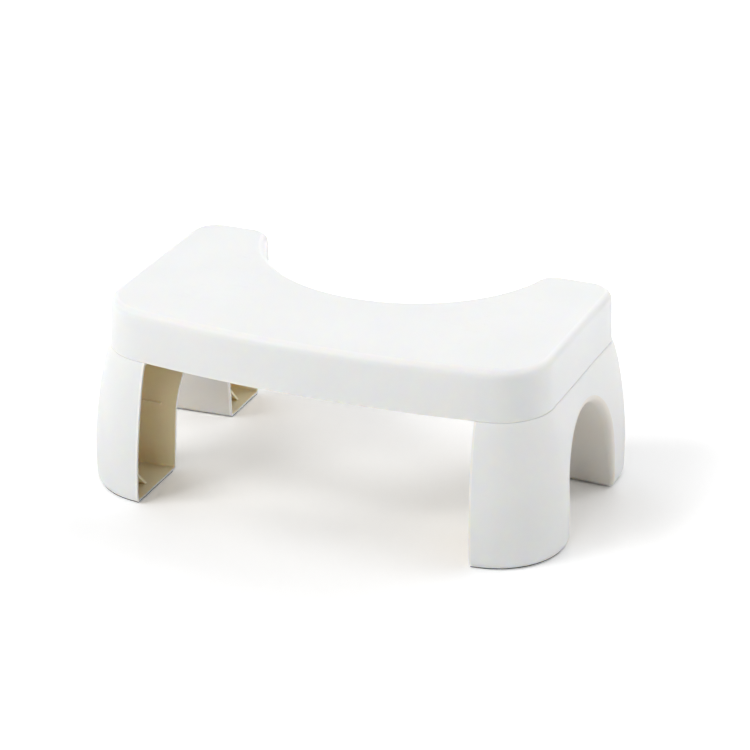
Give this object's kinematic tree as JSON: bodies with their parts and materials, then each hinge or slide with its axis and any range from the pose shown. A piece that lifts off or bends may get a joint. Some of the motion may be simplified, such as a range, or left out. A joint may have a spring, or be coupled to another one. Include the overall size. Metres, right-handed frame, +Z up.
{
  "type": "toilet footstool",
  "caption": "Low white plastic step with a bowed front, a round notch at the back for a toilet, and two pull-off arched leg frames on rubber pads.",
  "frame": {"origin": "on the floor, under the centre of the stool's bounding box", "axes": "+X along the stool's length, +Y towards the notch at the back, +Z up; the bowed front edge faces -Y"},
  "size_m": [0.425, 0.25, 0.17],
  "materials": {
    "white_plastic": "satin moulded polypropylene with a very fine grain",
    "leg_plastic": "satin moulded polypropylene, slightly see-through where it is thin",
    "rubber": "matt dark grey anti-slip rubber"
  },
  "bodies": {
    "step": {"top": "white_plastic"},
    "left_frame": {"leg_left": "leg_plastic", "foot_pad_front_left": "rubber", "foot_pad_back_left": "rubber"},
    "right_frame": {"leg_right": "leg_plastic", "foot_pad_front_right": "rubber", "foot_pad_back_right": "rubber"}
  },
  "joints": [
    {"name": "left_leg_pull", "type": "slide", "parent": "step", "child": "left_frame", "axis": [0, 0, -1], "range_m": [0, 0.03]},
    {"name": "right_leg_pull", "type": "slide", "parent": "step", "child": "right_frame", "axis": [0, 0, -1], "range_m": [0, 0.03]}
  ]
}
